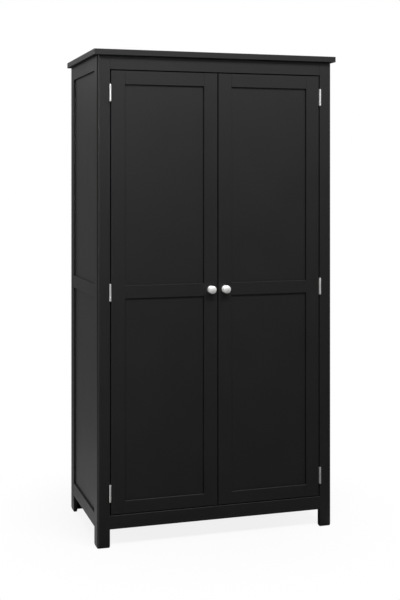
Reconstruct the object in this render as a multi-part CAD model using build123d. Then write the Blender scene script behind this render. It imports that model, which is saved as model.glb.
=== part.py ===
import os

from build123d import *

# Whole wardrobe, millimetres, standing on z = 0 with its doors towards -Y
overall_height = 1802
carcass_width = 916
carcass_depth = 505
top_thickness = 21
top_overhang = 14
leg_clear = 66
glide_height = 3
glide_inset = 1.5

# Face frame that carries the doors
frame_thickness = 20
front_stile = 47
front_top_rail = 51
front_bottom_rail = 49
tenon_length = 24
tenon_thickness = 8
tenon_shoulder = 8

# Framed sides and back
side_thickness = 15
side_recess = 7
leg_depth = 52
side_top_rail = 53
side_bottom_rail = 50
back_stile = 30
back_recess = 8
back_rail = 60
sheet = 4

# Framed doors
door_gap = 4
door_stile = 52
door_top_rail = 49
door_bottom_rail = 46
mid_rail = 47
door_recess = 11
door_panel = 5

# Grooves that hold the panels and the stub tenons
groove_depth = 8
panel_play = 1
tenon_play = 1

# Inside
board_thickness = 15
door_stop = 7
stop_clearance = 0.5
cleat = 20
shelf_height = 1500
shelf_setback = 14
shelf_cleat = 90
rail_drop = 45
rail_radius = 12.5
rail_wall = 1.5
socket_flange = 24
socket_plate = 3
socket_depth = 12
socket_wall = 2.5
loose_fit = 0.3

# Butt hinges
hinge_length = 61
knuckle_radius = 3.4
knuckle_count = 5
knuckle_clearance = 0.2
leaf_thickness = 1.6
leaf_depth = 16
pin_radius = 1.6
pin_fit = 0.05
pin_head = 1.2
pin_head_radius = 2.7

# Knobs
knob_radius = 15
knob_base_radius = 14
knob_waist_radius = 9
knob_projection = 27
knob_foot = 1.5
knob_cap = 18
knob_dome = 2.5
knob_round = 3
knob_screw_radius = 2
knob_screw_hold = 12
screw_head_radius = 4
screw_head = 2.6

# Double magnetic catch and its strike plates
catch_length = 84
catch_depth = 14
catch_height = 34
catch_seat = 14
strike_length = 26
strike_height = 13
strike_thickness = 1.2
strike_space = 0.4

# Softened edges
ease = 0.6
corner_round = 9
foot_bevel = 2
top_corner = 2
top_round = 1

# Levels and planes that follow from the sizes above
overall_depth = knob_projection + carcass_depth + top_overhang
front_y = knob_projection - overall_depth / 2
back_y = front_y + carcass_depth
frame_back = front_y + frame_thickness
back_front = back_y - frame_thickness
carcass_top = overall_height - top_thickness
side_out = carcass_width / 2
side_in = side_out - side_thickness
opening_x = side_out - front_stile
opening_low = leg_clear + front_bottom_rail
opening_high = carcass_top - front_top_rail
door_low = opening_low + door_gap
door_high = opening_high - door_gap
door_hinge_edge = opening_x - door_gap
door_meeting_edge = door_gap / 2
mid_centre = (door_low + door_high) / 2
mid_low = mid_centre - mid_rail / 2
mid_high = mid_centre + mid_rail / 2
floor_top = door_low + door_stop
floor_low = floor_top - board_thickness
knob_x = door_meeting_edge + door_stile / 2
pin_x = opening_x
pin_y = front_y - knuckle_radius - loose_fit

FRONT = Axis((0, 0, 0), (0, -1, 0))
DOWN = Axis((0, 0, 0), (0, 0, -1))


def block(x, y, z):
    size = Box(x[1] - x[0], y[1] - y[0], z[1] - z[0])
    return Pos((x[0] + x[1]) / 2, (y[0] + y[1]) / 2, (z[0] + z[1]) / 2) * size


def eased(board, side, amount):
    return chamfer(board.faces().sort_by(side)[-1].edges(), amount)


def rod(radius, start, length, axis):
    turn = {"x": Rot(0, 90, 0), "y": Rot(-90, 0, 0), "z": Rot(0, 0, 0)}[axis]
    return Pos(*start) * turn * Cylinder(radius, length, align=(Align.CENTER, Align.CENTER, Align.MIN))


def group(solids):
    return Compound(children=[s.solid() for s in solids])


def opposite(shape):
    return mirror(shape, about=Plane.YZ)


# A frame facing -Y with its face on y = 0: two stiles, rails between them, a panel in each opening
def framed(left, right, ends, rails, thickness, recess, panel, bevel):
    inner = (left[1], right[0])
    core = (recess, recess + panel)
    tongue = groove_depth - panel_play
    run = (rails[0][0], rails[-1][1])
    stiles = []
    left_slot = (left[1] - groove_depth, left[1])
    right_slot = (right[0], right[0] + groove_depth)
    for edges, slot in ((left, left_slot), (right, right_slot)):
        stile = block(edges, (0, thickness), ends)
        if bevel:
            stile = eased(stile, DOWN, bevel)
        stile = eased(stile, FRONT, ease)
        stiles.append(stile - block(slot, core, run))
    reach = (inner[0] - groove_depth, inner[1] + groove_depth)
    bars = []
    for index, span in enumerate(rails):
        bar = eased(block(inner, (0, thickness), span), FRONT, ease)
        bar += block(reach, core, span)
        if index > 0:
            bar -= block(reach, core, (span[0], span[0] + groove_depth))
        if index < len(rails) - 1:
            bar -= block(reach, core, (span[1] - groove_depth, span[1]))
        bars.append(bar)
    panels = []
    for lower, upper in zip(rails, rails[1:]):
        width = (inner[0] - tongue, inner[1] + tongue)
        panels.append(block(width, core, (lower[1] - tongue, upper[0] + tongue)))
    return stiles, bars, panels


parts = {}


def keep(name, shape):
    parts[name] = shape


def keep_pair(name, shape):
    keep("left_" + name, shape)
    keep("right_" + name, opposite(shape))


# Top board, oversailing the carcass all round
top = block(
    (-side_out - top_overhang, side_out + top_overhang),
    (front_y - top_overhang, back_y + top_overhang),
    (carcass_top, overall_height),
)
top = fillet(top.edges().filter_by(Axis.Z), top_corner)
top = fillet(top.faces().sort_by(Axis.Z)[-1].edges() + top.faces().sort_by(Axis.Z)[0].edges(), top_round)
keep("top_board", top)

# Heights of the three hinges on each door
hinge_lows = (
    door_low + door_bottom_rail + pin_head,
    mid_centre - hinge_length / 2,
    door_high - door_top_rail - pin_head - hinge_length,
)
leaf_back = front_y + leaf_depth

# Face frame: the stiles are also the front of the legs, the rails are tenoned between them
legs = (glide_height, carcass_top)
frame_middle = (front_y + frame_back) / 2
tenon_y = (frame_middle - tenon_thickness / 2, frame_middle + tenon_thickness / 2)
stile = block((-side_out, -opening_x), (front_y, frame_back), legs)
outer_arris = stile.edges().filter_by(Axis.Z).sort_by(Axis.X)[:2].sort_by(Axis.Y)[0]
stile = eased(fillet(outer_arris, corner_round), DOWN, foot_bevel)
inner_arris = stile.edges().filter_by(Axis.Z).sort_by(Axis.X)[-2:].sort_by(Axis.Y)[0]
stile = chamfer(inner_arris, ease)
leaf_seat = (-opening_x - leaf_thickness, -opening_x)
for low in hinge_lows:
    stile -= block(leaf_seat, (front_y, leaf_back), (low, low + hinge_length))
front_rails = {
    "front_top_rail": (opening_high, carcass_top),
    "front_bottom_rail": (leg_clear, opening_low),
}
for name, span in front_rails.items():
    tenon_z = (span[0] + tenon_shoulder, span[1] - tenon_shoulder)
    rail = eased(block((-opening_x, opening_x), (front_y, frame_back), span), FRONT, ease)
    rail += block((-opening_x - tenon_length, opening_x + tenon_length), tenon_y, tenon_z)
    stile -= block((-opening_x - tenon_length - tenon_play, -opening_x), tenon_y, tenon_z)
    keep(name, rail)
keep_pair("front_stile", stile)

# Framed sides, built facing -Y and turned to face -X
side_rails = (
    (leg_clear, leg_clear + side_bottom_rail),
    (mid_low, mid_high),
    (carcass_top - side_top_rail, carcass_top),
)
posts, bars, panels = framed(
    (-back_y, leg_depth - back_y),
    (-front_y - leg_depth, -frame_back),
    legs,
    side_rails,
    side_thickness,
    side_recess,
    sheet,
    foot_bevel,
)
to_side = Pos(-side_out, 0, 0) * Rot(0, 0, -90)
side_names = ("back_post", "front_post", "side_bottom_rail", "side_mid_rail", "side_top_rail")
side_names += ("side_lower_panel", "side_upper_panel")
for name, shape in zip(side_names, posts + bars + panels):
    keep_pair(name, to_side * shape)

# Framed back, standing between the sides
back_rails = (
    (leg_clear, leg_clear + back_rail),
    (mid_low, mid_high),
    (carcass_top - back_rail, carcass_top),
)
posts, bars, panels = framed(
    (-side_in, back_stile - side_in),
    (side_in - back_stile, side_in),
    legs,
    back_rails,
    frame_thickness,
    back_recess,
    sheet,
    foot_bevel,
)
back_names = ("left_back_stile", "right_back_stile", "back_bottom_rail", "back_mid_rail", "back_top_rail")
back_names += ("back_lower_panel", "back_upper_panel")
for name, shape in zip(back_names, posts + bars + panels):
    keep(name, Pos(0, back_front, 0) * shape)

# Glides, one angled pad under each leg
pad_z = (0, glide_height)
front_pad = block(
    (-side_out + glide_inset, -opening_x - glide_inset),
    (front_y + glide_inset, frame_back),
    pad_z,
)
pad_corner = front_pad.edges().filter_by(Axis.Z).sort_by(Axis.X)[:2].sort_by(Axis.Y)[0]
front_pad = fillet(pad_corner, corner_round - glide_inset)
front_pad += block(
    (-side_out + glide_inset, -side_in - glide_inset),
    (frame_back, front_y + leg_depth - glide_inset),
    pad_z,
)
back_pad = block(
    (-side_out + glide_inset, -side_in - glide_inset),
    (back_y - leg_depth + glide_inset, back_y - glide_inset),
    pad_z,
)
back_pad += block(
    (-side_in - glide_inset, back_stile - side_in - glide_inset),
    (back_front + glide_inset, back_y - glide_inset),
    pad_z,
)
keep("leg_glides", group([front_pad, opposite(front_pad), back_pad, opposite(back_pad)]))

# Floor of the cupboard on four cleats; its front edge stops the doors
floor_y = (frame_back + stop_clearance, back_front)
keep("floor_board", block((-side_in, side_in), floor_y, (floor_low, floor_top)))
cleat_z = (floor_low - cleat, floor_low)
side_cleat = block((-side_in, cleat - side_in), (frame_back + cleat, back_front - cleat), cleat_z)
keep(
    "floor_cleats",
    group(
        [
            block((-side_in, side_in), (frame_back, frame_back + cleat), cleat_z),
            block((-side_in, side_in), (back_front - cleat, back_front), cleat_z),
            side_cleat,
            opposite(side_cleat),
        ]
    ),
)

# Hat shelf on deep side cleats that also carry the hanging rail
shelf_y = (frame_back + shelf_setback, back_front)
shelf = block((-side_in, side_in), shelf_y, (shelf_height, shelf_height + board_thickness))
keep("hat_shelf", eased(shelf, FRONT, ease))
shelf_batten = block(
    (-side_in, board_thickness - side_in),
    shelf_y,
    (shelf_height - shelf_cleat, shelf_height),
)
keep("shelf_cleats", group([shelf_batten, opposite(shelf_batten)]))

# Hanging rail in a pair of end sockets
socket_x = board_thickness - side_in
rail_y = (frame_back + back_front) / 2
rail_z = shelf_height - rail_drop
rail_end = socket_x + socket_plate
tube_axis = (rail_end, rail_y, rail_z)
tube = rod(rail_radius, tube_axis, -2 * rail_end, "x")
keep("hanging_rail", tube - rod(rail_radius - rail_wall, tube_axis, -2 * rail_end, "x"))
socket = rod(socket_flange, (socket_x, rail_y, rail_z), socket_plate, "x")
socket += rod(rail_radius + loose_fit + socket_wall, tube_axis, socket_depth, "x")
socket -= rod(rail_radius + loose_fit, tube_axis, socket_depth, "x")
keep("rail_sockets", group([socket, opposite(socket)]))

# Doors
door_rails = (
    (door_low, door_low + door_bottom_rail),
    (mid_low, mid_high),
    (door_high - door_top_rail, door_high),
)
stiles, bars, panels = framed(
    (-door_hinge_edge, door_stile - door_hinge_edge),
    (-door_meeting_edge - door_stile, -door_meeting_edge),
    (door_low, door_high),
    door_rails,
    frame_thickness,
    door_recess,
    door_panel,
    0,
)
stiles[1] -= rod(knob_screw_radius + loose_fit, (-knob_x, 0, mid_centre), frame_thickness, "y")
door_names = ("door_hinge_stile", "door_meeting_stile", "door_bottom_rail", "door_mid_rail", "door_top_rail")
door_names += ("door_lower_panel", "door_upper_panel")
for name, shape in zip(door_names, stiles + bars + panels):
    keep_pair(name, Pos(0, front_y, 0) * shape)

# Knobs: a round rosette, a waist and a cove up to the domed cap, held by a screw through the stile
rosette = knob_base_radius - knob_waist_radius
cove = knob_radius - knob_waist_radius
dome_radius = (knob_radius**2 + knob_dome**2) / (2 * knob_dome)
dome_side = knob_projection - dome_radius + (dome_radius**2 - knob_radius**2 / 4) ** 0.5
with BuildSketch(Plane.XY) as half_knob:
    with BuildLine():
        hole_end = Line((0, knob_screw_hold), (knob_screw_radius + loose_fit, knob_screw_hold))
        hole = Line(hole_end @ 1, (knob_screw_radius + loose_fit, 0))
        base = Line(hole @ 1, (knob_base_radius, 0))
        foot = Line(base @ 1, (knob_base_radius, knob_foot))
        bead = CenterArc((knob_waist_radius, knob_foot), rosette, 0, 90)
        waist = Line(bead @ 1, (knob_waist_radius, knob_cap - cove))
        flare = CenterArc((knob_radius, knob_cap - cove), cove, 180, -90)
        rim = Line(flare @ 1, (knob_radius, knob_projection - knob_dome))
        dome = ThreePointArc(rim @ 1, (knob_radius / 2, dome_side), (0, knob_projection))
        Line(dome @ 1, hole_end @ 0)
    make_face()
    fillet(half_knob.vertices().sort_by(Axis.X)[-2:].sort_by(Axis.Y)[-1], knob_round)
knob = Pos(-knob_x, front_y, mid_centre) * Rot(0, 0, 180) * revolve(half_knob.sketch, Axis.Y)
keep_pair("knob", knob)
head = (-knob_x, frame_back, mid_centre)
tip = front_y - knob_screw_hold + loose_fit
screw = rod(knob_screw_radius, (-knob_x, tip, mid_centre), frame_back - tip, "y")
pan = rod(screw_head_radius, head, screw_head, "y")
keep_pair("knob_screw", screw + fillet(pan.edges().sort_by(Axis.Y)[-1], screw_head / 2))


# One leaf of a hinge: a plate and the knuckles that belong to it, bored for the pin
def hinge_leaf(plate_x, low, own, other, inset):
    pitch = hinge_length / knuckle_count
    leaf = block(plate_x, (pin_y, leaf_back), (low, low + hinge_length))
    for index in other:
        gap = rod(
            knuckle_radius + loose_fit,
            (-pin_x, pin_y, low + index * pitch - knuckle_clearance + inset),
            pitch + 2 * knuckle_clearance - 2 * inset,
            "z",
        )
        leaf -= gap
    for index in own:
        leaf += rod(knuckle_radius, (-pin_x, pin_y, low + index * pitch + inset), pitch - 2 * inset, "z")
    return leaf - rod(pin_radius + pin_fit, (-pin_x, pin_y, low), hinge_length, "z")


outer_knuckles = range(0, knuckle_count, 2)
inner_knuckles = range(1, knuckle_count, 2)
frame_leaves = []
door_leaves = []
pins = []
for low in hinge_lows:
    frame_leaves.append(
        hinge_leaf((-pin_x - leaf_thickness, -pin_x), low, outer_knuckles, inner_knuckles, 0)
    )
    door_leaves.append(
        hinge_leaf(
            (-door_hinge_edge - leaf_thickness, -door_hinge_edge),
            low,
            inner_knuckles,
            outer_knuckles,
            knuckle_clearance,
        )
    )
    pin = rod(pin_radius, (-pin_x, pin_y, low), hinge_length, "z")
    pin += rod(pin_head_radius, (-pin_x, pin_y, low - pin_head), pin_head, "z")
    pin += rod(pin_head_radius, (-pin_x, pin_y, low + hinge_length), pin_head, "z")
    pins.append(pin)
keep("frame_hinge_leaves", group(frame_leaves + [opposite(leaf) for leaf in frame_leaves]))
keep("hinge_pins", group(pins + [opposite(pin) for pin in pins]))
keep("left_door_hinge_leaves", group(door_leaves))
keep("right_door_hinge_leaves", group([opposite(leaf) for leaf in door_leaves]))

# Double catch behind the top rail, a strike plate on the back of each meeting stile
strike_high = door_high - strike_height / 2
catch_front = frame_back + strike_thickness + strike_space
catch = block(
    (-catch_length / 2, catch_length / 2),
    (frame_back, catch_front + catch_depth),
    (opening_high + catch_seat - catch_height, opening_high + catch_seat),
)
catch -= block(
    (-catch_length / 2, catch_length / 2),
    (frame_back, catch_front),
    (opening_high + catch_seat - catch_height, opening_high),
)
keep("magnetic_catch", catch)
strike = block(
    (-knob_x - strike_length / 2, strike_length / 2 - knob_x),
    (frame_back, frame_back + strike_thickness),
    (strike_high - strike_height, strike_high),
)
keep_pair("strike_plate", strike)

os.makedirs("parts", exist_ok=True)
for name, shape in parts.items():
    export_step(shape, "parts/" + name + ".step")
print(len(parts), "nodes")
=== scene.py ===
import math
import bmesh
import bpy
from mathutils import Matrix, Vector


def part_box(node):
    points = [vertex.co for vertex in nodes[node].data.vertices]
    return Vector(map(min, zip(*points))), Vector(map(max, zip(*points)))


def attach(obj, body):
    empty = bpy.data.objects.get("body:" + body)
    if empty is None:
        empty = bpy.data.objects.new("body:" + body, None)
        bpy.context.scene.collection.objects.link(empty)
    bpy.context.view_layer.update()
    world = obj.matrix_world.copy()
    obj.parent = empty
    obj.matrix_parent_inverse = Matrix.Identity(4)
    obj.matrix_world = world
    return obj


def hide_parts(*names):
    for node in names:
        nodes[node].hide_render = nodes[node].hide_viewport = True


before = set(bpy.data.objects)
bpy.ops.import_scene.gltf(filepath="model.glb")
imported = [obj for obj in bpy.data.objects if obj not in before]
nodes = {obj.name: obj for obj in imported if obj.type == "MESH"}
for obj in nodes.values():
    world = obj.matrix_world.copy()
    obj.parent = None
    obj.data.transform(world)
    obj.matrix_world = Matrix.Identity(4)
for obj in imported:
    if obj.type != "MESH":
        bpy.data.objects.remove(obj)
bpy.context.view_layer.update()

millimetre = 0.001
scene = bpy.context.scene
scene.view_settings.view_transform = "Standard"


# Camera: level, in front of the wardrobe and to its left
camera = {
    "place": (-1.26726, -4.06166, 1.33931),
    "turn": 17.0169,  # degrees to the right of straight on
    "lens": 64.742,
    "shift": (0.01255, -0.20453),
    "clip": (0.05, 60),
}


def setCamera():
    data = bpy.data.cameras.new("camera")
    data.lens = camera["lens"]
    data.shift_x, data.shift_y = camera["shift"]
    data.clip_start, data.clip_end = camera["clip"]
    made = bpy.data.objects.new("camera", data)
    made.location = camera["place"]
    made.rotation_euler = (math.pi / 2, 0, -math.radians(camera["turn"]))
    scene.collection.objects.link(made)
    scene.camera = made


setCamera()
print("camera set")


# Shader sums: a socket that can be added, subtracted and multiplied
class Wire:
    def __init__(self, tree, socket=None):
        self.tree = tree
        self.socket = socket

    def node(self, kind, settings=None, inputs=None, output=0):
        made = self.tree.nodes.new(kind)
        for name, value in (settings or {}).items():
            setattr(made, name, value)
        for name, value in (inputs or {}).items():
            if isinstance(value, Wire):
                self.tree.links.new(value.socket, made.inputs[name])
            else:
                made.inputs[name].default_value = value
        return Wire(self.tree, made.outputs[output] if made.outputs else None)

    def sum(self, operation, first, second=0.0):
        return self.node("ShaderNodeMath", {"operation": operation}, {0: first, 1: second})

    def __add__(self, other):
        return self.sum("ADD", self, other)

    def __radd__(self, other):
        return self.sum("ADD", other, self)

    def __sub__(self, other):
        return self.sum("SUBTRACT", self, other)

    def __rsub__(self, other):
        return self.sum("SUBTRACT", other, self)

    def __mul__(self, other):
        return self.sum("MULTIPLY", self, other)

    def __rmul__(self, other):
        return self.sum("MULTIPLY", other, self)


def newMaterial(name):
    made = bpy.data.materials.new(name)
    made.use_nodes = True
    made.node_tree.nodes.clear()
    return made, Wire(made.node_tree)


def grey(value):
    return (value, value, value, 1)


def coordinates(wire, kind):
    return wire.node("ShaderNodeTexCoord", output=kind)


# Scales are per metre: one for each axis, or one for all
def noise(wire, place, scale, detail=3.0, rough=0.55):
    scales = (scale,) * 3 if isinstance(scale, float) else scale
    spread = wire.node("ShaderNodeMapping", None, {"Vector": place, "Scale": scales})
    inputs = {"Vector": spread, "Scale": 1.0, "Detail": detail, "Roughness": rough}
    return wire.node("ShaderNodeTexNoise", None, inputs)


def alongGrain(grain, scales):
    along, across = scales
    return [along if axis == grain else across for axis in "xyz"]


# The mix node has a set of sockets for each kind of value: 6, 7 and 2 are the colours
def mixed(wire, share, first, second):
    return wire.node("ShaderNodeMix", {"data_type": "RGBA"}, {0: share, 6: first, 7: second}, 2)


def bumped(wire, height, strength, distance):
    inputs = {"Height": height, "Strength": strength, "Distance": distance}
    return wire.node("ShaderNodeBump", None, inputs)


def surface(wire, inputs):
    shader = wire.node("ShaderNodeBsdfPrincipled", None, inputs)
    wire.node("ShaderNodeOutputMaterial", None, {"Surface": shader})


# Satin black paint over softwood, its fibres running along each member
paint = {
    "deep": (0.0045, 0.0045, 0.0046, 1),
    "thin": (0.0066, 0.0065, 0.0064, 1),
    "roughness": 0.50,
    "fibreRoughness": 0.10,
    "mottleRoughness": 0.07,
    "specular": 0.36,
    "fibre": (9.0, 420.0),  # per metre, along and across
    "mottle": 5.5,
    "peel": 900.0,
    "fibreHeight": 0.7,
    "peelHeight": 0.3,
    "mottleColour": 0.6,
    "fibreColour": 0.4,
    "bump": 0.22,
    "relief": 0.10 * millimetre,
    "underside": 0.5,  # how much rougher the faces are that look down
}


def paintedWood(name, grain, values):
    made, wire = newMaterial(name)
    place = coordinates(wire, "Object")
    fibre = noise(wire, place, alongGrain(grain, values["fibre"]), detail=4.0, rough=0.6)
    mottle = noise(wire, place, values["mottle"], detail=3.0, rough=0.6)
    peel = noise(wire, place, values["peel"], detail=1.0, rough=0.4)
    normal = coordinates(wire, "Normal")
    upward = wire.node("ShaderNodeSeparateXYZ", None, {"Vector": normal}, "Z")
    roughness = (
        values["roughness"]
        + values["fibreRoughness"] * (fibre - 0.5)
        + values["mottleRoughness"] * (mottle - 0.5)
        + values["underside"] * wire.sum("MAXIMUM", 0.0 - upward, 0.0)
    )
    height = values["fibreHeight"] * fibre + values["peelHeight"] * peel
    thinness = values["mottleColour"] * mottle + values["fibreColour"] * fibre
    surface(
        wire,
        {
            "Base Color": mixed(wire, thinness, values["deep"], values["thin"]),
            "Roughness": roughness,
            "Specular IOR Level": values["specular"],
            "Normal": bumped(wire, height, values["bump"], values["relief"]),
        },
    )
    return made


paintPanel = dict(paint, fibre=(7.0, 300.0), bump=0.14, relief=0.07 * millimetre)
paintInside = dict(paint, roughness=0.58, thin=(0.0100, 0.0098, 0.0096, 1), bump=0.3)

# Bright plate on the knobs, hinges and rail
plate = {
    "bright": (0.80, 0.80, 0.79, 1),
    "dull": (0.62, 0.62, 0.61, 1),
    "roughness": 0.13,
    "smear": 0.12,  # how far smears change the roughness
    "smearMiddle": 0.35,  # the smear that leaves it as it is
    "smearScale": 55.0,
    "scratch": (60.0, 2600.0),
    "scratchRoughness": 0.05,
    "bump": 0.12,
    "relief": 0.02 * millimetre,
}


def brightPlate(name, grain, values):
    made, wire = newMaterial(name)
    place = coordinates(wire, "Object")
    scratch = noise(wire, place, alongGrain(grain, values["scratch"]), detail=2.0, rough=0.5)
    smear = noise(wire, place, values["smearScale"], detail=3.0, rough=0.6)
    roughness = (
        values["roughness"]
        + values["smear"] * (smear - values["smearMiddle"])
        + values["scratchRoughness"] * (scratch - 0.5)
    )
    surface(
        wire,
        {
            "Base Color": mixed(wire, smear, values["bright"], values["dull"]),
            "Metallic": 1.0,
            "Roughness": roughness,
            "Normal": bumped(wire, scratch, values["bump"], values["relief"]),
        },
    )
    return made


knobPlate = dict(
    plate,
    bright=(0.95, 0.95, 0.94, 1),
    dull=(0.88, 0.88, 0.86, 1),
    roughness=0.56,
    smear=0.06,
)
hingePlate = dict(
    plate,
    bright=(0.94, 0.94, 0.92, 1),
    dull=(0.84, 0.84, 0.82, 1),
    roughness=0.45,
)
zincPlate = dict(
    plate,
    bright=(0.60, 0.60, 0.58, 1),
    dull=(0.42, 0.42, 0.41, 1),
    roughness=0.32,
    smear=0.18,
)

# Moulded black plastic of the catch
plastic = {
    "dark": (0.014, 0.014, 0.014, 1),
    "pale": (0.022, 0.022, 0.022, 1),
    "roughness": 0.52,
    "cloud": 70.0,
    "cloudRoughness": 0.12,
    "grain": 1500.0,
    "bump": 0.25,
    "relief": 0.05 * millimetre,
}


def mouldedPlastic(name, values):
    made, wire = newMaterial(name)
    place = coordinates(wire, "Object")
    grain = wire.node("ShaderNodeTexVoronoi", None, {"Vector": place, "Scale": values["grain"]})
    cloud = noise(wire, place, values["cloud"])
    surface(
        wire,
        {
            "Base Color": mixed(wire, cloud, values["dark"], values["pale"]),
            "Roughness": values["roughness"] + values["cloudRoughness"] * (cloud - 0.5),
            "Normal": bumped(wire, grain, values["bump"], values["relief"]),
        },
    )
    return made


# Darker plastic of the glides
glidePlastic = dict(plastic, dark=grey(0.008), pale=grey(0.014))

# Sintered magnet: charcoal, with a finer grain
magnetGrit = dict(
    plastic,
    dark=(0.030, 0.029, 0.028, 1),
    pale=(0.060, 0.058, 0.056, 1),
    roughness=0.6,
    grain=4000.0,
)

finishes = {
    "stile": paintedWood("satinBlackUpright", "z", paint),
    "rail": paintedWood("satinBlackRail", "x", paint),
    "sideRail": paintedWood("satinBlackSideRail", "y", paint),
    "panel": paintedWood("satinBlackPanel", "z", paintPanel),
    "board": paintedWood("satinBlackBoard", "x", paintInside),
    "knob": brightPlate("knobPlate", "", knobPlate),
    "hinge": brightPlate("hingePlate", "z", hingePlate),
    "tube": brightPlate("railPlate", "x", plate),
    "zinc": brightPlate("zincPlate", "", zincPlate),
    "catch": mouldedPlastic("catchPlastic", plastic),
    "glide": mouldedPlastic("glidePlastic", glidePlastic),
    "magnet": mouldedPlastic("magnetGrit", magnetGrit),
}


def finishOf(name):
    if name in ("floor_board", "hat_shelf", "floor_cleats", "shelf_cleats"):
        return "board"
    for word, finish in (
        ("panel", "panel"),
        ("screw", "zinc"),
        ("strike", "zinc"),
        ("knob", "knob"),
        ("hinge_leaves", "hinge"),
        ("hinge_pins", "hinge"),
        ("hanging_rail", "tube"),
        ("socket", "tube"),
        ("catch", "catch"),
        ("glides", "glide"),
        ("side_", "sideRail"),
        ("stile", "stile"),
        ("post", "stile"),
    ):
        if word in name:
            return finish
    return "rail"


def dress(piece, finish):
    piece.data.materials.clear()
    piece.data.materials.append(finishes[finish])


for name, node in nodes.items():
    dress(node, finishOf(name))
print("finishes on", len(nodes), "nodes")


# Modelling helpers
squareOn = 0.9  # how nearly a face has to look along an axis to be picked


def selectOnly(piece):
    bpy.ops.object.select_all(action="DESELECT")
    piece.select_set(True)
    bpy.context.view_layer.objects.active = piece


def addCube(size):
    bpy.ops.object.select_all(action="DESELECT")
    bpy.ops.mesh.primitive_cube_add(size=size)
    return bpy.context.object


def addCylinder(sides, radius, depth):
    bpy.ops.object.select_all(action="DESELECT")
    bpy.ops.mesh.primitive_cylinder_add(vertices=sides, radius=radius, depth=depth)
    return bpy.context.object


def startEdit(piece):
    selectOnly(piece)
    bpy.ops.object.mode_set(mode="EDIT")
    bpy.ops.mesh.select_mode(type="FACE")
    bpy.ops.mesh.select_all(action="SELECT")


def endEdit():
    bpy.ops.object.mode_set(mode="OBJECT")


def pickFaces(piece, axis, sign):
    mesh = bmesh.from_edit_mesh(piece.data)
    for face in mesh.faces:
        face.select_set(sign * getattr(face.normal, axis) > squareOn)
    mesh.select_flush_mode()
    bmesh.update_edit_mesh(piece.data)


def extrude(offset):
    bpy.ops.mesh.extrude_region_move(TRANSFORM_OT_translate={"value": offset})


def smooth(piece, angle):
    selectOnly(piece)
    bpy.ops.object.shade_smooth_by_angle(angle=math.radians(angle))


# Copies a shape made in millimetres, turned about its +Z, which then looks outward
def copyTo(original, point, outward, turn=0.0):
    made = original.copy()
    made.data = original.data.copy()
    scene.collection.objects.link(made)
    facing = Vector((0, 0, 1)).rotation_difference(Vector(outward)).to_matrix().to_4x4()
    turned = Matrix.Rotation(math.radians(turn), 4, "Z")
    placed = Matrix.Translation(point) @ facing @ turned
    made.data.transform(placed @ Matrix.Scale(millimetre, 4))
    return made


def joinAs(name, copies):
    selectOnly(copies[0])
    for piece in copies:
        piece.select_set(True)
    if len(copies) > 1:
        bpy.ops.object.join()
    made = bpy.context.view_layer.objects.active
    made.name = name
    made.data.name = name
    return made


def finishPiece(piece, finish, body):
    dress(piece, finish)
    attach(piece, body)


# The stretches of an axis that a node's corners fill, with gaps wider than apart between them
def bands(name, axis, apart=0.02):
    levels = sorted(getattr(corner.co, axis) for corner in nodes[name].data.vertices)
    found = [[levels[0], levels[0]]]
    for level in levels:
        if level - found[-1][1] > apart:
            found.append([level, level])
        found[-1][1] = level
    return found


# Cross-head screws, modelled in millimetres with the head facing +Z
def crossCutter(values):
    cutter = addCube(2)
    startEdit(cutter)
    size = (values["slot"], values["slotWidth"] / 2, values["slotDepth"])
    bpy.ops.transform.resize(value=size)
    bpy.ops.transform.translate(value=(0, 0, values["top"]))
    pickFaces(cutter, "z", -1)
    bpy.ops.transform.resize(value=values["slotTaper"])
    bpy.ops.mesh.select_all(action="SELECT")
    bpy.ops.mesh.duplicate()
    bpy.ops.transform.rotate(value=math.pi / 2, orient_axis="Z", center_override=(0, 0, 0))
    endEdit()
    return cutter


def screwHead(name, values):
    screw = addCylinder(values["sides"], values["head"], values["depth"])
    screw.name = name
    startEdit(screw)
    bpy.ops.transform.translate(value=(0, 0, -values["depth"] / 2))
    pickFaces(screw, "z", -1)
    narrow = values["taper"] / values["head"]
    bpy.ops.transform.resize(value=(narrow, narrow, 1))
    extrude((0, 0, -values["shank"]))
    pickFaces(screw, "z", 1)
    for share, rise in values["crown"]:
        bpy.ops.mesh.inset(thickness=values["head"] * share)
        bpy.ops.transform.translate(value=(0, 0, rise))
    endEdit()
    cutter = crossCutter(values)
    cut = screw.modifiers.new("cross", "BOOLEAN")
    cut.operation = "DIFFERENCE"
    cut.solver = "EXACT"
    cut.use_self = True
    cut.object = cutter
    selectOnly(screw)
    bpy.ops.object.modifier_apply(modifier=cut.name)
    bpy.data.objects.remove(cutter)
    smooth(screw, values["smooth"])
    return screw


flatScrew = {
    "sides": 28,
    "head": 3.1,
    "depth": 1.5,
    "taper": 1.6,
    "shank": 2.0,
    "crown": ((0.06, 0.10), (0.25, 0.07), (0.3, 0.03)),  # steps inward, as a share, and up
    "top": 0.2,
    "slot": 1.75,
    "slotWidth": 0.6,
    "slotDepth": 1.0,
    "slotTaper": (0.45, 0.6, 1),
    "smooth": 35,  # degrees
}
panScrew = dict(
    flatScrew,
    head=4.0,
    depth=1.3,
    taper=4.0,
    shank=0.1,
    crown=((0.10, 0.75), (0.14, 0.38), (0.2, 0.14)),
    top=1.27,
    slot=2.1,
    slotWidth=0.75,
    slotDepth=1.3,
)

flatHead = screwHead("flatHead", flatScrew)
panHead = screwHead("panHead", panScrew)
print("screw heads modelled")

# Screws in the hinge leaves, three to a leaf
hingeScrews = {
    "shares": (0.17, 0.5, 0.83),
    "fromEdge": 7.5,
    "proud": 0.12,
    "leaf": 1.6,
    "turnStep": 37,  # degrees from screw to screw, between the sides and on the doors
    "turnSide": 11,
    "turnDoor": 50,
}


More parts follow.
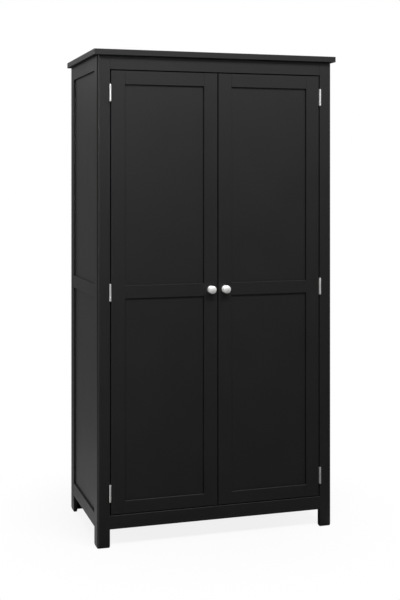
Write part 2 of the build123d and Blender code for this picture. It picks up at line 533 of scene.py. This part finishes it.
def screwHinges():
    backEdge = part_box("frame_hinge_leaves")[1].y - hingeScrews["fromEdge"] * millimetre
    proud = hingeScrews["proud"] * millimetre
    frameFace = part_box("left_front_stile")[1].x
    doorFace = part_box("left_door_hinge_stile")[0].x - hingeScrews["leaf"] * millimetre
    inFrame = []
    onDoor = {"left": [], "right": []}
    levels = [
        bottom + (top - bottom) * share
        for bottom, top in bands("left_door_hinge_leaves", "z")
        for share in hingeScrews["shares"]
    ]
    for index, level in enumerate(levels):
        for side, sign in (("left", 1), ("right", -1)):
            turn = hingeScrews["turnStep"] * index + hingeScrews["turnSide"] * sign
            point = (sign * (frameFace + proud), backEdge, level)
            inFrame.append(copyTo(flatHead, point, (sign, 0, 0), turn))
            turn += hingeScrews["turnDoor"]
            point = (sign * (doorFace - proud), backEdge, level)
            onDoor[side].append(copyTo(flatHead, point, (-sign, 0, 0), turn))
    finishPiece(joinAs("frame_hinge_screws", inFrame), "zinc", "carcass")
    for side, copies in onDoor.items():
        screws = joinAs(side + "_door_hinge_screws", copies)
        finishPiece(screws, "zinc", side + "_door")


screwHinges()

# Pan-head screws that hold the knobs
knobScrews = {
    "turns": {"left": 20, "right": 65},
    "sides": 24,
    "radius": 2.0,
    "collar": 1.0,  # the shank's first stretch, under the head
    "tip": 0.6,
    "tipInset": 0.5,
}


def knobShank(length):
    collar = knobScrews["collar"]
    tip = knobScrews["tip"]
    shank = addCylinder(knobScrews["sides"], knobScrews["radius"], collar)
    startEdit(shank)
    pickFaces(shank, "z", -1)
    extrude((0, 0, -(length - (collar + tip))))
    bpy.ops.mesh.inset(thickness=knobScrews["tipInset"])
    bpy.ops.transform.translate(value=(0, 0, -tip))
    endEdit()
    return shank


def screwKnobs():
    for side, turn in knobScrews["turns"].items():
        name = side + "_knob_screw"
        low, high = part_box(name)
        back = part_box(side + "_door_meeting_stile")[1].y
        centre = (low + high) / 2
        depth = panScrew["depth"] * millimetre
        head = copyTo(panHead, (centre.x, back + depth, centre.z), (0, 1, 0), turn)
        shank = knobShank((back - low.y) / millimetre)
        start = back - knobScrews["collar"] / 2 * millimetre
        rod = copyTo(shank, (centre.x, start, centre.z), (0, 1, 0))
        bpy.data.objects.remove(shank)
        smooth(rod, panScrew["smooth"])
        screw = joinAs(side + "_knob_bolt", [head, rod])
        finishPiece(screw, "zinc", side + "_door")
        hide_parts(name)


screwKnobs()

# Screws in the rail sockets and in the shelf's cleats
socketScrews = {"radius": 19.6, "angles": (90, 210, 330), "proud": 0.15, "turn": 15}
cleatScrews = {
    "shares": (0.1, 0.37, 0.63, 0.9),
    "drop": 0.32,
    "proud": 0.12,
    "turnStep": 41,
    "turnSide": 7,
}


def screwSockets():
    copies = []
    low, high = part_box("hanging_rail")
    middle = (low + high) / 2
    face = low.x + socketScrews["proud"] * millimetre
    reach = socketScrews["radius"] * millimetre
    for sign in (1, -1):
        for angle in socketScrews["angles"]:
            point = (
                sign * face,
                middle.y + reach * math.cos(math.radians(angle)),
                middle.z + reach * math.sin(math.radians(angle)),
            )
            turn = angle + socketScrews["turn"] * sign
            copies.append(copyTo(flatHead, point, (sign, 0, 0), turn))
    finishPiece(joinAs("socket_screws", copies), "zinc", "carcass")


def screwCleats():
    copies = []
    low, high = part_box("shelf_cleats")
    inner = bands("shelf_cleats", "x", apart=0.1)[0][1] + cleatScrews["proud"] * millimetre
    for sign in (1, -1):
        for index, share in enumerate(cleatScrews["shares"]):
            point = (
                sign * inner,
                low.y + (high.y - low.y) * share,
                low.z + (high.z - low.z) * cleatScrews["drop"],
            )
            turn = cleatScrews["turnStep"] * index + cleatScrews["turnSide"] * sign
            copies.append(copyTo(flatHead, point, (sign, 0, 0), turn))
    finishPiece(joinAs("cleat_screws", copies), "zinc", "carcass")


screwSockets()
screwCleats()
print("hinges, knobs, sockets and cleats screwed")

# Magnets of the double catch, between steel poles, and the screws of catch and strike plates
catchFace = {
    "pole": (22.0, 2.2, 1.4),
    "magnet": (22.0, 3.0, 1.4),
    "spread": 2.9,  # from the middle of a magnet to its poles
    "polesProud": 0.15,
    "magnetsProud": 0.02,
    "round": 0.25,
    "smooth": 40,  # degrees
    "screwShare": 0.62,
    "screwDrop": 7.0,
    "screwTurns": {1: 55, -1: 5},
    "strikeProud": 0.08,
    "strikeTurn": 15,
}


def bar(size):
    made = addCube(1)
    startEdit(made)
    bpy.ops.transform.resize(value=size)
    bpy.ops.mesh.bevel(offset=catchFace["round"], segments=3, affect="EDGES")
    endEdit()
    smooth(made, catchFace["smooth"])
    return made


def fitCatch():
    low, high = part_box("magnetic_catch")
    strikeLow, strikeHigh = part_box("left_strike_plate")
    strike = (strikeLow + strikeHigh) / 2
    reach = abs(strike.x)
    face = bands("magnetic_catch", "y", apart=0.001)[1][0]  # the plane that meets the strike plates
    level = (max(strikeLow.z, low.z) + strikeHigh.z) / 2
    pole = bar(catchFace["pole"])
    magnet = bar(catchFace["magnet"])
    flush = face + catchFace["pole"][2] / 2 * millimetre
    magnetPlane = flush - catchFace["magnetsProud"] * millimetre
    polePlane = flush - catchFace["polesProud"] * millimetre
    spread = catchFace["spread"] * millimetre
    poles, magnets, screws = [], [], []
    for sign in (1, -1):
        magnets.append(copyTo(magnet, (sign * reach, magnetPlane, level), (0, -1, 0)))
        for height in (level + spread, level - spread):
            poles.append(copyTo(pole, (sign * reach, polePlane, height), (0, -1, 0)))
        point = (
            sign * high.x * catchFace["screwShare"],
            high.y + panScrew["depth"] * millimetre,
            high.z - catchFace["screwDrop"] * millimetre,
        )
        screws.append(copyTo(panHead, point, (0, 1, 0), catchFace["screwTurns"][sign]))
    bpy.data.objects.remove(pole)
    bpy.data.objects.remove(magnet)
    finishPiece(joinAs("catch_poles", poles), "zinc", "carcass")
    finishPiece(joinAs("catch_magnets", magnets), "magnet", "carcass")
    finishPiece(joinAs("catch_screws", screws), "zinc", "carcass")
    strikeFace = strikeHigh.y + catchFace["strikeProud"] * millimetre
    for side, sign in (("left", -1), ("right", 1)):
        point = (sign * reach, strikeFace, strike.z)
        copies = [copyTo(flatHead, point, (0, 1, 0), catchFace["strikeTurn"] * sign)]
        screw = joinAs(side + "_strike_screw", copies)
        finishPiece(screw, "zinc", side + "_door")


fitCatch()
bpy.data.objects.remove(flatHead)
bpy.data.objects.remove(panHead)
print("catch fitted")

# Door panels: a tongue in the frame's grooves, and a field that stands forward of it,
# with more room at its sides, where wood moves, than at its ends
doorPanels = {"forward": 5.0, "sideGap": 1.2, "endGap": 0.15, "ease": 0.4}


def doorPanel(low, high, openingLeft):
    sideGap = doorPanels["sideGap"] * millimetre
    endGap = doorPanels["endGap"] * millimetre
    centre = (low + high) / 2
    border = openingLeft - low.x + sideGap
    rise = high.z - low.z - 2 * border
    panel = addCube(1)
    startEdit(panel)
    bpy.ops.transform.resize(value=high - low)
    bpy.ops.transform.translate(value=centre)
    pickFaces(panel, "y", -1)
    bpy.ops.mesh.inset(thickness=border)
    stretch = (1, 1, 1 + 2 * (sideGap - endGap) / rise)
    bpy.ops.transform.resize(value=stretch, center_override=centre)
    extrude((0, -doorPanels["forward"] * millimetre, 0))
    bpy.ops.mesh.bevel(offset=doorPanels["ease"] * millimetre, segments=1, affect="EDGES")
    endEdit()
    return panel


def fitDoorPanels():
    for side, stile in (("left", "hinge"), ("right", "meeting")):
        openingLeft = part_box(side + "_door_" + stile + "_stile")[1].x
        for part in ("upper", "lower"):
            name = side + "_door_" + part + "_panel"
            low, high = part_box(name)
            board = doorPanel(low, high, openingLeft)
            panel = joinAs(side + "_door_" + part + "_board", [board])
            finishPiece(panel, "panel", side + "_door")
            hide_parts(name)


fitDoorPanels()
print("door panels fitted")

# Studio: a pale floor that runs out into white, in dim light from all round
studio = {
    "ambient": 0.13,
    "floor": 0.9,
    "floorSize": 16.0,
    "speck": 35.0,
    "speckShade": 0.985,
    "fade": (0.25, 1.0, 0.86),  # metres over which the floor turns white, from what share
}

# A wide soft lamp above the front, a weak one behind and a narrow one at the front left
lamps = {
    "key": {
        "place": (0.1, -3.0, 4.8),
        "aim": (0, -0.25, 1.2),
        "size": (4.6, 1.3),
        "power": 300,
        "spread": 180,
    },
    "rear": {
        "place": (0, 3.6, 3.2),
        "aim": (0, 0.2, 1),
        "size": (2.4, 1.2),
        "power": 24,
        "spread": 180,
    },
    "edge": {
        "place": (-2.4, -3.15, 2.5),
        "aim": (-1.05, -0.2, 1.7),
        "size": (0.2, 1.2),
        "power": 3.2,
        "spread": 28,
    },
}

# Glowing sheets round the studio, no lamps, that only the reflections see: painted reflections, the
# dark ones painting shade and the pale ones painting light into the shine of the paint and metal.
# Their spans run from left to right, near to far and bottom to top
reflectionGlows = {
    # Painted shade in the reflections: dark sheets in front, on the floor in front and at the left
    "frontDarkReflection": {"shade": 0.05, "x": (-1.9, 6), "y": (-4.5, -4.5), "z": (0.001, 2.5)},
    "leftDarkReflection": {"shade": 0.02, "x": (-4, -4), "y": (-3.0, 3.2), "z": (0.001, 4.0)},
    "frontFloorDarkReflection": {"shade": 0.05, "x": (-0.6, 6), "y": (-4.5, -0.3), "z": (0.002, 0.002)},
    # Painted shade: a near-black sheet under the wardrobe, where the floor lies in its shadow
    "paintedShadeUnder": {"shade": 0.01, "x": (-0.46, 0.46), "y": (-0.3, 0.26), "z": (0.002, 0.002)},
    # Painted light in the reflections: pale glowing sheets behind and on the floor, brightest
    # beside the wardrobe's sides
    "backReflectionGlow": {"shade": 0.285, "x": (-4, 4), "y": (2.5, 2.5), "z": (0.001, 2.05)},
    "farFloorReflectionGlow": {"shade": 0.33, "x": (-4, 4), "y": (1.2, 2.5), "z": (0.002, 0.002)},
    "midFloorReflectionGlow": {"shade": 0.52, "x": (-4, 4), "y": (0.35, 1.2), "z": (0.002, 0.002)},
    "leftFloorReflectionGlow": {"shade": 0.74, "x": (-4, -0.46), "y": (-0.3, 0.35), "z": (0.002, 0.002)},
    "rightFloorReflectionGlow": {"shade": 0.74, "x": (0.46, 4), "y": (-0.3, 0.35), "z": (0.002, 0.002)},
}


def seenDirectly(wire):
    paths = [
        wire.node("ShaderNodeLightPath", output=kind)
        for kind in ("Is Camera Ray", "Is Glossy Ray", "Is Transmission Ray")
    ]
    return wire.sum("MINIMUM", paths[0] + paths[1] + paths[2], 1.0)


def glow(wire, kind, shade, strength=1.0):
    return wire.node(kind, None, {"Color": grey(shade), "Strength": strength})


def setWorld():
    world = bpy.data.worlds.new("studio")
    scene.world = world
    world.use_nodes = True
    world.node_tree.nodes.clear()
    world.cycles.sampling_method = "NONE"
    wire = Wire(world.node_tree)
    soft = glow(wire, "ShaderNodeBackground", 1, studio["ambient"])
    white = glow(wire, "ShaderNodeBackground", 1)
    both = wire.node("ShaderNodeMixShader", None, {0: seenDirectly(wire), 1: soft, 2: white})
    wire.node("ShaderNodeOutputWorld", None, {"Surface": both})


def setFloor():
    bpy.ops.object.select_all(action="DESELECT")
    bpy.ops.mesh.primitive_plane_add(size=studio["floorSize"])
    floor = bpy.context.object
    floor.name = "floor"
    made, wire = newMaterial("paleFloor")
    place = coordinates(wire, "Object")
    distance = wire.node("ShaderNodeVectorMath", {"operation": "LENGTH"}, {0: place}, "Value")
    start, end, least = studio["fade"]
    fade = wire.node(
        "ShaderNodeMapRange",
        {"interpolation_type": "SMOOTHSTEP"},
        {"Value": distance, "From Min": start, "From Max": end, "To Min": least},
    )
    speck = noise(wire, place, studio["speck"])
    pale = studio["floor"]
    shade = mixed(wire, speck, grey(pale), grey(pale * studio["speckShade"]))
    paper = wire.node("ShaderNodeBsdfDiffuse", None, {"Color": shade})
    white = glow(wire, "ShaderNodeEmission", 1)
    share = seenDirectly(wire) * fade
    both = wire.node("ShaderNodeMixShader", None, {0: share, 1: paper, 2: white})
    wire.node("ShaderNodeOutputMaterial", None, {"Surface": both})
    floor.data.materials.append(made)


def hangReflectionGlows():
    for name, glowSheet in reflectionGlows.items():
        (left, right), (near, far), (bottom, top) = glowSheet["x"], glowSheet["y"], glowSheet["z"]
        corners = [(left, near, bottom), (right, near, bottom), (right, far, top), (left, far, top)]
        if left == right:
            corners[1] = (left, far, bottom)
            corners[3] = (left, near, top)
        mesh = bpy.data.meshes.new(name)
        mesh.from_pydata(corners, [], [(0, 1, 2, 3)])
        made = bpy.data.objects.new(name, mesh)
        scene.collection.objects.link(made)
        material, wire = newMaterial(name)
        # Each sheet glows at its listed level (its shade) and shows only in reflections: a painted
        # reflection, not a lamp
        dull = glow(wire, "ShaderNodeEmission", glowSheet["shade"])
        wire.node("ShaderNodeOutputMaterial", None, {"Surface": dull})
        material.cycles.emission_sampling = "NONE"
        mesh.materials.append(material)
        for rays in ("camera", "diffuse", "shadow", "transmission"):
            setattr(made, "visible_" + rays, False)


def setLamps():
    for name, lamp in lamps.items():
        data = bpy.data.lights.new(name, "AREA")
        data.shape = "RECTANGLE"
        data.size, data.size_y = lamp["size"]
        data.energy = lamp["power"]
        data.spread = math.radians(lamp["spread"])
        made = bpy.data.objects.new(name, data)
        made.location = lamp["place"]
        toward = Vector(lamp["aim"]) - made.location
        made.rotation_euler = toward.to_track_quat("-Z", "Y").to_euler()
        made.visible_camera = False
        scene.collection.objects.link(made)


setWorld()
setFloor()
hangReflectionGlows()
setLamps()
print("studio lit")
